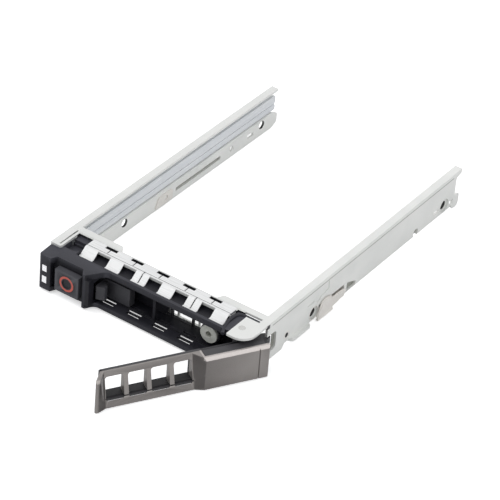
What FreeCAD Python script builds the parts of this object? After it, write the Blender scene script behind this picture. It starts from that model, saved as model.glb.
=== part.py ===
import FreeCAD, Part
import math
import os

import Sketcher

# Hot swap drive caddy for a 2.5 inch drive: one folded steel frame, a moulded front bezel
# with a push button, a sliding latch and a swing handle, and two light pipes on the left rail.
#
# Millimetres. +X is to the right when the front is seen, +Y runs from the front to the rear,
# +Z is up. Heights start at the underside of the caddy. The outlines are drawn with y = 0 on
# the front face of the bezel, and every piece is then set back by origin_behind_front, so
# that the origin lies at mid width on the underside, below the cross bar.
# The pieces of the handle are drawn closed, about the axis of the hinge pin, and are turned
# open by open_angle.

SIZES = {
    # whole caddy
    "overall_width": 76.0,
    "overall_height": 14.2,
    "rail_tail": 9.3,
    "origin_behind_front": 14.0,
    "sheet": 0.8,
    "snug": 0.1,
    "running": 0.2,
    # steel rails
    "lip_width": 2.7,
    "rail_depth": 3.0,
    "rail_bottom_rise": 1.6,
    "drive_hole_y": 40.6,
    "drive_hole_pitch": 76.6,
    "drive_hole_z": 4.2,
    "drive_hole_radius": 1.5,
    "drive_boss_radius": 2.5,
    "countersink_depth": 0.7,
    "claw_window_rear": 19.9,
    "claw_window_top": 9.6,
    "claw_window_floor": 3.0,
    "rail_front": 14.9,
    "tab_setback": 7.4,
    "tab_clear": 1.8,
    "tab_reach": 1.2,
    "clip_window_gap": 2.8,
    "clip_window_length": 14.2,
    "clip_window_top": 5.6,
    "clip_window_floor": 1.4,
    "peek_hole_gap": 1.6,
    "peek_hole_length": 5.2,
    "half_moon_gap": 17.3,
    "half_moon_radius": 2.3,
    "half_moon_z": 2.7,
    "rear_slot_gap": 4.7,
    "rear_slot_length": 3.6,
    "rear_slot_height": 1.4,
    "rear_square_gap": 4.3,
    "rear_square_side": 2.2,
    "rear_square_z": 3.2,
    "emboss_depth": 0.25,
    "emboss_width": 0.9,
    "rear_hook_z": 5.2,
    "left_step_z": 6.2,
    "left_recess_gap": 27.8,
    "left_recess_length": 25.0,
    "left_recess_height": 1.7,
    "left_recess_z": 3.9,
    # cross bar
    "bar_front": 11.6,
    "web_rear": 16.5,
    "bar_left_inset": 9.5,
    "bar_right_inset": 11.6,
    "web_right_inset": 9.1,
    "gusset_length": 20.0,
    "gusset_rear": 18.7,
    "left_lip_width": 4.0,
    "left_lip_front": 6.3,
    "ear_overhang": 2.15,
    "ear_rear": 14.1,
    "ear_neck_width": 2.8,
    "gasket_sheet": 0.2,
    "finger_count": 6.0,
    "finger_width": 5.0,
    "slot_front": 15.1,
    "slot_rear": 15.95,
    "slot_depth": 1.4,
    "lip_slot_inset": 2.6,
    "lip_slot_width": 0.5,
    # hinge
    "hinge_inset": 5.3,
    "hinge_y": 8.8,
    "pin_radius": 1.1,
    "open_angle": 58.9,
    # bezel
    "bezel_inset": 0.8,
    "bezel_left_inset": 0.4,
    "ear_gap": 0.25,
    "led_block_width": 4.6,
    "bezel_chamfer": 0.6,
    "top_plate": 2.0,
    "bottom_plate": 1.6,
    "top_edge": 5.8,
    "bottom_edge": 3.1,
    "strip_rear": 6.9,
    "groove_floor": 1.3,
    "button_recess": 2.2,
    "divider_inset": 17.4,
    "divider_width": 2.6,
    "back_wall_front": 12.0,
    "back_wall": 1.2,
    "mullion_left": 1.3,
    "mullion_width": 0.9,
    "mullion_front": 6.95,
    "mullion_depth": 1.0,
    "vent_length": 4.8,
    "vent_width": 0.8,
    "vent_pitch": 1.45,
    "vent_front": 4.9,
    "vent_group_pitch": 9.7,
    "vent_floor": 0.5,
    # light pipes
    "pipe_window_inset": 1.8,
    "pipe_window_width": 1.7,
    "upper_window_floor": 7.4,
    "upper_window_height": 2.3,
    "lower_window_floor": 3.1,
    "lower_window_height": 2.5,
    "pipe_depth": 1.6,
    "pipe_gap": 0.2,
    "lower_pipe_height": 2.2,
    "pipe_headroom": 1.4,
    "pipe_rise_start": 6.4,
    "pipe_rise_end": 14.6,
    "pipe_tail": 1.0,
    # release button
    "button_margin": 1.8,
    "button_side_gap": 1.6,
    "button_floor": 2.6,
    "button_headroom": 1.0,
    "button_depth": 5.2,
    "button_face": 0.1,
    "ring_radius": 2.7,
    "ring_width": 0.7,
    "ring_depth": 0.5,
    "dimple_radius": 1.7,
    "dimple_depth": 0.35,
    "wedge": 3.4,
    "wedge_inset": 2.2,
    "wedge_floor": 5.0,
    "wedge_height": 3.2,
    "button_travel": 1.6,
    # latch
    "latch_end": 0.7,
    "latch_reach": 10.5,
    "latch_front": 7.0,
    "latch_depth": 2.6,
    "latch_floor": 3.2,
    "latch_headroom": 1.8,
    "hook_gap": 0.3,
    "hook_width": 3.1,
    "hook_front": 2.7,
    # latch housing
    "housing_front": 9.8,
    # springs
    "coil_inset": 1.3,
    "coil_radius": 0.95,
    "coil_wire": 0.16,
    "coil_turns": 3.0,
    "coil_seat": 12.6,
    "twist_wire": 0.22,
    "twist_turns": 1.5,
    "twist_drop": 3.3,
    "twist_height": 2.4,
    # handle, closed, from the axis of the hinge pin
    "handle_gap": 0.6,
    "handle_overhang": 0.9,
    "handle_face": 8.0,
    "handle_floor": 0.3,
    "handle_headroom": 1.5,
    "handle_chamfer": 1.0,
    "cover_back": 2.75,
    "cover_front_wall": 1.9,
    "cover_shelf": 3.3,
    "cover_end_wall": 1.5,
    "cover_groove": 0.3,
    "panel_setback_low": 1.2,
    "panel_setback_high": 4.2,
    "tip_block": 4.6,
    "panel_right": 17.6,
    "panel_blend_left": 2.9,
    "panel_blend_right": 3.0,
    "window_floor": 2.1,
    "window_headroom": 1.9,
    "window_bar": 1.45,
    "window_count": 4.0,
    "window_corner": 0.8,
    "hub_radius": 2.6,
    "lever_wall": 1.0,
    "lever_end": 0.9,
    "lever_shelf": 0.5,
    "lever_shelf_front": 5.0,
    "lever_brow": 0.7,
    "lever_brow_back": 3.5,
    "claw_overhang": 4.2,
    "claw_clear": 0.5,
    # rivet
    "rivet_offset": 10.7,
    "rivet_z": 7.4,
    "rivet_head_radius": 3.05,
    "rivet_head": 0.8,
    "rivet_front": 7.2,
    "rivet_radius": 1.7,
    "rivet_bore": 1.0,
    "rivet_tail": 0.5,
    # rail clips
    "clip_sheet": 0.4,
    "clip_gap": 1.8,
    "clip_length": 16.6,
    "clip_height": 6.4,
    "clip_floor": 0.3,
    "left_clip_gap": 16.1,
    "left_clip_length": 9.5,
}

doc = FreeCAD.newDocument("drive_caddy")
sheet = doc.addObject("Spreadsheet::Sheet", "Sizes")


class Size:
    """A length or an angle together with the sheet formula that it comes from."""

    def __init__(self, number, formula):
        self.number = number
        self.formula = formula

    @staticmethod
    def of(value):
        if isinstance(value, Size):
            return value
        return Size(float(value), f"({float(value)})")

    def join(self, sign, other, number):
        return Size(number, f"({self.formula} {sign} {other.formula})")

    def __add__(self, other):
        other = Size.of(other)
        return self.join("+", other, self.number + other.number)

    def __sub__(self, other):
        other = Size.of(other)
        return self.join("-", other, self.number - other.number)

    def __mul__(self, other):
        other = Size.of(other)
        return self.join("*", other, self.number * other.number)

    def __truediv__(self, other):
        other = Size.of(other)
        return self.join("/", other, self.number / other.number)

    def __radd__(self, other):
        return Size.of(other) + self

    def __rsub__(self, other):
        return Size.of(other) - self

    def __rmul__(self, other):
        return Size.of(other) * self

    def __neg__(self):
        return Size(-self.number, f"(0 - {self.formula})")

    def __float__(self):
        return self.number


class Sizes:
    """The named sizes of the sheet, read as attributes."""

    def __init__(self, table):
        for row, (name, number) in enumerate(table.items(), start=1):
            cell = f"A{row}"
            sheet.set(cell, str(number))
            sheet.setAlias(cell, name)
            setattr(self, name, Size(number, f"Sizes.{name}"))


s = Sizes(SIZES)
doc.recompute()


def bind(target, path, value):
    """Binds one property of a document object to a formula of the sheet."""
    target.setExpression(path, Size.of(value).formula)


class Circle:
    """A round outline of a sketch."""

    def __init__(self, x, y, radius):
        self.x = Size.of(x)
        self.y = Size.of(y)
        self.radius = Size.of(radius)


def box(x0, y0, x1, y1):
    """A rectangular outline from its two opposite corners."""
    return [(x0, y0), (x1, y0), (x1, y1), (x0, y1)]


def corner_geometry(before, corner, after, radius):
    """The ends, the centre and the middle of the arc that rounds one corner."""
    into = (before - corner).normalize()
    out = (after - corner).normalize()
    half_turn = into.getAngle(out) / 2
    along = radius / math.tan(half_turn)
    centre = corner + (into + out).normalize() * (radius / math.sin(half_turn))
    middle = centre + (corner - centre).normalize() * radius
    return corner + into * along, middle, corner + out * along


def draw_circle(sketch, circle):
    """Adds a circle to a sketch, with its centre and radius bound."""
    centre = FreeCAD.Vector(float(circle.x), float(circle.y), 0)
    ring = sketch.addGeometry(Part.Circle(centre, FreeCAD.Vector(0, 0, 1), float(circle.radius)), False)
    for kind, value in (("DistanceX", circle.x), ("DistanceY", circle.y)):
        rule = sketch.addConstraint(Sketcher.Constraint(kind, -1, 1, ring, 3, float(value)))
        bind(sketch, f"Constraints[{rule}]", value)
    rule = sketch.addConstraint(Sketcher.Constraint("Radius", ring, float(circle.radius)))
    bind(sketch, f"Constraints[{rule}]", circle.radius)


def draw_corners(sketch, corners):
    """Adds a closed outline of straight runs to a sketch; a corner (x, y, r) is rounded."""
    corners = [(Size.of(c[0]), Size.of(c[1]), Size.of(c[2]) if len(c) > 2 else None) for c in corners]
    count = len(corners)
    points = [FreeCAD.Vector(float(c[0]), float(c[1]), 0) for c in corners]
    arcs = {}
    for i, corner in enumerate(corners):
        if corner[2] is not None:
            arcs[i] = corner_geometry(points[i - 1], points[i], points[(i + 1) % count], float(corner[2]))
    lines = []
    for i in range(count):
        start = arcs[i][2] if i in arcs else points[i]
        following = (i + 1) % count
        end = arcs[following][0] if following in arcs else points[following]
        lines.append(sketch.addGeometry(Part.LineSegment(start, end), False))
    for i, (x, y, radius) in enumerate(corners):
        before = lines[i - 1]
        after = lines[i]
        if radius is None:
            sketch.addConstraint(Sketcher.Constraint("Coincident", before, 2, after, 1))
            held, end = after, 1
        else:
            held, end = sketch.addGeometry(Part.Point(points[i]), True), 1
            sketch.addConstraint(Sketcher.Constraint("PointOnObject", held, 1, before))
            sketch.addConstraint(Sketcher.Constraint("PointOnObject", held, 1, after))
            arc = sketch.addGeometry(Part.Arc(*arcs[i]), False)
            turns_left = (points[i] - points[i - 1]).cross(points[(i + 1) % count] - points[i]).z > 0
            first, last = (1, 2) if turns_left else (2, 1)
            sketch.addConstraint(Sketcher.Constraint("Tangent", before, 2, arc, first))
            sketch.addConstraint(Sketcher.Constraint("Tangent", after, 1, arc, last))
            rule = sketch.addConstraint(Sketcher.Constraint("Radius", arc, float(radius)))
            bind(sketch, f"Constraints[{rule}]", radius)
        for kind, value in (("DistanceX", x), ("DistanceY", y)):
            rule = sketch.addConstraint(Sketcher.Constraint(kind, -1, 1, held, end, float(value)))
            bind(sketch, f"Constraints[{rule}]", value)


pieces = []


class Piece:
    """One sub-part, made as a PartDesign body from pads and pockets on its origin planes."""

    def __init__(self, label):
        self.body = doc.addObject("PartDesign::Body", label)
        self.body.Label = label
        self.steps = 0
        pieces.append(self)

    def sketch(self, plane, depth, outlines):
        """A sketch parallel to one origin plane, its coordinates being the body's own."""
        self.steps += 1
        sketch = self.body.newObject("Sketcher::SketchObject", f"{self.body.Label}_outline_{self.steps}")
        base = [part for part in self.body.Origin.OriginFeatures if part.Role == plane][0]
        sketch.AttachmentSupport = [(base, "")]
        sketch.MapMode = "FlatFace"
        depth = Size.of(depth)
        sketch.AttachmentOffset = FreeCAD.Placement(FreeCAD.Vector(0, 0, float(depth)), FreeCAD.Rotation())
        bind(sketch, "AttachmentOffset.Base.z", depth)
        for outline in outlines:
            if isinstance(outline, Circle):
                draw_circle(sketch, outline)
            else:
                draw_corners(sketch, outline)
        return sketch

    def feature(self, kind, sketch, length):
        step = self.body.newObject(f"PartDesign::{kind}", f"{self.body.Label}_{kind.lower()}_{self.steps}")
        step.Profile = sketch
        step.Length = float(length)
        bind(step, "Length", length)
        sketch.Visibility = False
        return step

    def pad(self, plane, low, high, *outlines):
        """Adds material between two levels measured along the axis normal to the plane."""
        low, high = Size.of(low), Size.of(high)
        start = -high if plane == "XZ_Plane" else low
        return self.feature("Pad", self.sketch(plane, start, outlines), high - low)

    def pocket(self, plane, low, high, *outlines):
        """Cuts material away between two levels measured along the axis normal to the plane."""
        low, high = Size.of(low), Size.of(high)
        start = -low if plane == "XZ_Plane" else high
        return self.feature("Pocket", self.sketch(plane, start, outlines), high - low)

    def place(self, x=0, y=0, z=0, angle=None):
        """Sets the body in the caddy's frame."""
        turn = FreeCAD.Rotation(FreeCAD.Vector(0, 0, 1), float(Size.of(angle or 0)))
        spot = FreeCAD.Vector(float(Size.of(x)), float(Size.of(y)), float(Size.of(z)))
        self.body.Placement = FreeCAD.Placement(spot, turn)
        for axis, value in (("x", x), ("y", y), ("z", z)):
            bind(self.body, f"Placement.Base.{axis}", value)
        if angle is not None:
            bind(self.body, "Placement.Rotation.Angle", angle)


half = s.overall_width / 2
top = s.overall_height
setback = -s.origin_behind_front
inside = half - s.sheet
web_front = s.web_rear - s.sheet
flange_low = s.gasket_sheet
flange_high = top - s.gasket_sheet
bezel_floor = s.bezel_inset
bezel_top = top - s.bezel_inset
ceiling = bezel_top - s.top_plate
rear_hole_y = s.drive_hole_y + s.drive_hole_pitch
drive_holes = [s.drive_hole_y, rear_hole_y]
rail_end = rear_hole_y + s.rail_tail

# distances from mid width to what is set out from the two sides
bay = half - s.rail_depth
hinge_x = half - s.hinge_inset
ear_left = hinge_x - s.ear_overhang
ear_neck = half - s.ear_neck_width
bar_left = half - s.bar_left_inset
bar_right = half - s.bar_right_inset
web_right = half - s.web_right_inset
bezel_left = half - s.bezel_left_inset
bezel_right = ear_left - s.ear_gap
led_right = bezel_left - s.led_block_width
divider_left = half - s.divider_inset
divider_right = divider_left - s.divider_width
pipe_window_left = half - s.pipe_window_inset
pipe_window_right = pipe_window_left - s.pipe_window_width
button_left = led_right - s.button_margin
button_width = button_left - divider_left - s.button_side_gap
wedge_right = divider_left + s.wedge_inset
latch_left = wedge_right + s.wedge + s.latch_end
latch_right = divider_right - s.latch_reach
hook_left = divider_right - s.hook_gap
hook_right = hook_left - s.hook_width
housing_left = half - s.left_lip_width
coil_x = button_left - s.coil_inset
rivet_x = hinge_x - s.rivet_offset

# places along the rails and heights that follow from what is above or beside them
tab_front = s.claw_window_rear + s.tab_setback
tab_rear = s.drive_hole_y - s.tab_clear
clip_front = s.drive_hole_y + s.clip_gap
left_clip_front = s.drive_hole_y + s.left_clip_gap
left_recess_front = s.drive_hole_y + s.left_recess_gap
clip_window_front = s.drive_hole_y + s.clip_window_gap
peek_hole_front = clip_window_front + s.clip_window_length + s.peek_hole_gap
half_moon_y = rear_hole_y - s.half_moon_gap
rear_slot_y = rear_hole_y - s.rear_slot_gap
rear_square_y = rear_hole_y + s.rear_square_gap
button_height = ceiling - s.button_headroom - s.button_floor
latch_height = ceiling - s.latch_headroom - s.latch_floor
lower_pipe_floor = s.left_step_z + s.pipe_gap
upper_pipe_floor = lower_pipe_floor + s.lower_pipe_height + s.pipe_gap
upper_pipe_height = top - s.sheet - s.pipe_headroom - upper_pipe_floor

# the closed handle, from the axis of the hinge pin
handle_length = hinge_x + divider_right - s.handle_gap
handle_end = s.hinge_inset + s.handle_overhang
handle_height = bezel_top - s.handle_headroom - s.handle_floor
panel_left = handle_length - s.tip_block
lever_left = panel_left + s.lever_end
lever_floor = s.cover_shelf - s.lever_shelf - s.snug / 2
twist_floor = top - s.sheet - s.running - s.twist_drop
window_left = panel_left - 2 * s.snug
window_right = s.panel_right + 2 * s.snug
window_pitch = (window_left - window_right + s.window_bar) / s.window_count
claw_reach = s.hinge_inset + s.claw_overhang
claw_floor = s.claw_window_floor + s.claw_clear
claw_top = s.claw_window_top - s.claw_clear


def ear_outline():
    """The hinge ear in plan: its front edge is an arc about the hinge pin."""
    return [
        (ear_left, s.hinge_y - s.hinge_inset, 0.35),
        (half, s.hinge_y - s.hinge_inset, s.hinge_inset - 0.3),
        (half, s.gusset_rear),
        (ear_neck, s.gusset_rear),
        (ear_neck, s.ear_rear),
        (ear_left, s.ear_rear),
    ]


def steel_frame():
    """The folded sheet: cross bar, two hinge ears, two rails with their top lips."""
    frame = Piece("steel_frame")
    # the cross bar is a channel, open to the front, that takes the rear of the bezel
    frame.pad("XZ_Plane", web_front, s.web_rear, box(-bay, flange_low, web_right, flange_high))
    for low, high in ((flange_low, flange_low + s.sheet), (flange_high - s.sheet, flange_high)):
        frame.pad("XY_Plane", low, high, box(-bar_left, s.bar_front, bar_right, s.web_rear))
    for low, high in ((0, s.sheet), (top - s.sheet, top)):
        inner = half - s.gusset_length
        rear = s.gusset_rear
        frame.pad("XY_Plane", low, high,
                  [(inner, web_front + s.sheet / 2), (ear_neck + 0.5, web_front + s.sheet / 2),
                   (ear_neck + 0.5, rear), (inner + 1.2, rear, 0.8)])
        frame.pad("XY_Plane", low, high, ear_outline())
        frame.pad("XY_Plane", low, high,
                  [(-inner, web_front + s.sheet / 2), (-inner - 1.2, rear, 0.8),
                   (-inside, rear), (-inside, web_front + s.sheet / 2)])
    # right rail: flat wall, top lip, hooked rear end, bottom tab
    end = rail_end
    rise = s.rail_bottom_rise
    frame.pad("YZ_Plane", inside, half,
              [(s.rail_front, top), (s.rail_front, s.claw_window_top), (s.claw_window_rear, s.claw_window_top, 1.2),
               (s.claw_window_rear, s.claw_window_floor, 1.2), (s.rail_front, s.claw_window_floor),
               (s.rail_front, 0), (tab_front - 3.6, 0, 0.6), (tab_front - 2.2, rise, 0.6),
               (end - 4.5, rise, 1.0), (end - 3.4, 0, 0.8), (end, 0, 1.5), (end, s.rear_hook_z - 0.5, 1.0),
               (end - 3, s.rear_hook_z, 0.5), (end - 3, top - 2.3, 0.8), (end, top - 1.6, 0.8), (end, top)])
    # left rail: upper wall for the light pipes, a step, and the lower wall against the drive
    step = s.left_step_z
    frame.pad("YZ_Plane", -half, -inside,
              [(s.left_lip_front, step - s.sheet), (end - 3, step - s.sheet, 0.8), (end - 3, top - 2.3, 0.8),
               (end, top - 1.6, 0.8), (end, top), (s.left_lip_front, top)])
    frame.pad("XY_Plane", step - s.sheet, step, box(-half, web_front, -bay, end - 3.2))
    frame.pad("YZ_Plane", -bay - s.sheet, -bay,
              [(web_front, 0), (end - 3.4, 0, 1.2), (end, 1.2, 1.0), (end, step - 1.4, 1.0),
               (end - 3.2, step), (web_front, step)])
    for side in (-1, 1):
        frame.pad("XY_Plane", top - s.sheet, top,
                  box(side * half, s.web_rear - 0.4, side * (half - s.lip_width), end))
    frame.pad("XY_Plane", top - s.sheet, top,
              [(-half, s.left_lip_front, 0.8), (-half + s.left_lip_width, s.left_lip_front, 0.8),
               (-half + s.left_lip_width, s.gusset_rear), (-half, s.gusset_rear)])
    # openings of the right rail
    frame.pocket("YZ_Plane", inside - 1, half + 1,
                 box(clip_window_front, s.clip_window_floor, clip_window_front + s.clip_window_length,
                     s.clip_window_top),
                 [(peek_hole_front, 2), (peek_hole_front + s.peek_hole_length, 2, 0.3),
                  (peek_hole_front + s.peek_hole_length, 3.4, 0.3), (peek_hole_front, 5.4, 0.3)],
                 Circle(half_moon_y, s.half_moon_z, s.half_moon_radius - 0.9),
                 box(rear_slot_y - s.rear_slot_length / 2, 3.4, rear_slot_y + s.rear_slot_length / 2,
                     3.4 + s.rear_slot_height),
                 box(rear_square_y - s.rear_square_side / 2, s.rear_square_z - s.rear_square_side / 2,
                     rear_square_y + s.rear_square_side / 2, s.rear_square_z + s.rear_square_side / 2),
                 Circle(tab_front - 1.4, s.drive_hole_z, 0.8))
    # shallow pressed grooves on the right rail's outer face
    mark = clip_window_front
    frame.pocket("YZ_Plane", half - s.emboss_depth, half + 1,
                 [(mark + 5.0, 12.4), (mark + 4.0, 12.4), (mark + 4.1, 10.1), (mark + 0.6, 9.2), (mark - 1.5, 7.5),
                  (mark - 0.9, 6.8), (mark + 1.0, 8.3), (mark + 5.1, 9.2)],
                 box(mark - 6.5, 8.4, mark - 3.0, 8.4 + s.emboss_width * 0.6))
    # openings of the left rail's lower wall
    frame.pocket("YZ_Plane", -bay - s.sheet - 1, -bay + 1,
                 box(left_recess_front, s.left_recess_z - s.left_recess_height,
                     left_recess_front + s.left_recess_length, s.left_recess_z - 0.3),
                 Circle(half_moon_y, 3.2, 1.0),
                 box(rear_slot_y - s.rear_slot_length, 2.4, rear_slot_y, 3.8))
    # the lower tab of the right rail is bent outwards
    tab_end = tab_rear
    frame.pad("XY_Plane", rise - s.sheet, rise + 0.2,
              [(inside, tab_front), (half + s.tab_reach, tab_front + 1.2, 0.8),
               (half + s.tab_reach, tab_end - 1.2, 0.8), (inside, tab_end)])
    # screw bosses pressed in to the drive, with countersunk holes
    for y in drive_holes:
        frame.pad("YZ_Plane", bay, inside + 0.1, Circle(y, s.drive_hole_z, s.drive_boss_radius))
        frame.pocket("YZ_Plane", half - s.countersink_depth, half + 1,
                     Circle(y, s.drive_hole_z, s.drive_boss_radius))
        frame.pocket("YZ_Plane", bay - 1, half + 1, Circle(y, s.drive_hole_z, s.drive_hole_radius))
        frame.pocket("YZ_Plane", -bay - s.sheet - s.snug, -bay + 1,
                     Circle(y, s.drive_hole_z, s.drive_hole_radius))
    # seats of the hinge pin and of the bezel's rivet
    frame.pocket("XY_Plane", -1, top + 1, Circle(hinge_x, s.hinge_y, s.pin_radius + 0.03))
    frame.pocket("XZ_Plane", web_front - 1, s.web_rear + 1,
                 Circle(rivet_x, s.rivet_z, s.rivet_radius + 0.03))
    # slots in front of the web, beside the gasket fingers, and the thin slot of the left lip
    for low, high in ((-1, flange_low + s.slot_depth), (flange_high - s.slot_depth, top + 1)):
        frame.pocket("XY_Plane", low, high, *finger_slots(s.slot_front, s.slot_rear))
    lip_slot = -half + s.lip_slot_inset
    frame.pocket("XY_Plane", top - s.sheet - s.snug, top + 1,
                 box(lip_slot, s.left_lip_front + 1, lip_slot + s.lip_slot_width, s.web_rear - s.snug))
    # openings of the web behind the windows of the bezel's back wall
    frame.pocket("XZ_Plane", web_front - 0.5, s.web_rear + 1,
                 *[box(left, low, right, high) for left, low, right, high in back_windows()])
    frame.place(y=setback)
    return frame


def gasket_fingers():
    """Left and right edges of the six spring fingers of one gasket."""
    first = s.snug - bar_left
    last = bar_right - s.finger_width - 4 * s.snug
    pitch = (last - first) / (s.finger_count - 1)
    lefts = [first + pitch * number for number in range(int(float(s.finger_count)))]
    return [(left, left + s.finger_width) for left in lefts]


def finger_slots(front, rear):
    """Outlines of the slots between neighbouring fingers."""
    fingers = gasket_fingers()
    return [box(a[1] + s.running, front, b[0] - s.running, rear) for a, b in zip(fingers, fingers[1:])]


def back_windows():
    """The openings seen past the mullion: left, floor, right and top of each."""
    floor = bezel_floor + s.groove_floor + 0.8 + s.snug
    return [(2.7, floor, 4.6, 6.5), (5.1, floor, 12.5, 6.5), (12.9, floor, 16.8, 6.5)]


def emi_gasket(label, upper):
    """A thin spring strip clipped on one flange of the cross bar, with six sprung fingers."""
    gasket = Piece(label)

    def level(depth):
        return top - depth if upper else Size.of(depth)

    thick = s.gasket_sheet
    bend = s.bar_front - 0.2
    tip_depth = s.bezel_inset + s.groove_floor
    first, last = gasket_fingers()[0][0], gasket_fingers()[-1][1]
    levels = (level(thick), level(0)) if upper else (level(0), level(thick))
    gasket.pad("XY_Plane", *levels, box(first, s.bar_front, last, web_front + s.sheet / 2 - s.snug))
    for left, right in gasket_fingers():
        gasket.pad("YZ_Plane", left, right,
                   [(s.bar_front + 0.5, level(0)), (bend, level(0)), (bend - 2.4, level(tip_depth - thick)),
                    (bend - 3.6, level(tip_depth - thick)), (bend - 3.6, level(tip_depth)),
                    (bend - 2.2, level(tip_depth)), (bend, level(thick)), (s.bar_front + 0.5, level(thick))])
    fingers = gasket_fingers()
    slots = finger_slots(s.slot_front, web_front)
    gaps = [box((a[1] + b[0]) / 2 - s.running, s.bar_front + 1, (a[1] + b[0]) / 2 + s.running, s.slot_front - 0.5)
            for a, b in zip(fingers, fingers[1:])]
    gasket.pocket("XY_Plane", levels[0] - 1, levels[1] + 1, *slots, *gaps)
    # the third and the fifth finger are split along the middle
    slits = [box((a + b) / 2 - s.running, bend - 2.9, (a + b) / 2 + s.running, s.bar_front + 1)
             for a, b in (fingers[2], fingers[4])]
    gasket.pocket("XY_Plane", level(tip_depth + 1) if upper else level(-1),
                  level(-1) if upper else level(tip_depth + 1), *slits)
    gasket.place(y=setback)
    return gasket


def plate_outline(edge, rear):
    """One bezel plate in plan; its front edge steps round the button and sweeps back to edge."""
    recess = s.button_recess
    return [
        (0.3 - bezel_left, 0, s.bezel_chamfer),
        (-led_right, 0),
        (1.0 - led_right, recess),
        (-1.4 - divider_left, recess),
        (-divider_left, 0),
        (-divider_left + 1.2, 0, 0.8),
        (edge * 0.75 - divider_right - 2.0, edge, 2.4),
        (bezel_right, edge, 1.5),
        (bezel_right, rear),
        (bar_right + s.running, rear),
        (bar_right + s.running, s.bar_front - s.snug),
        (-inside + s.snug, s.bar_front - s.snug),
        (-inside + s.snug, s.left_lip_front - s.snug),
        (-bezel_left, s.left_lip_front - s.snug),
    ]


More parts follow.
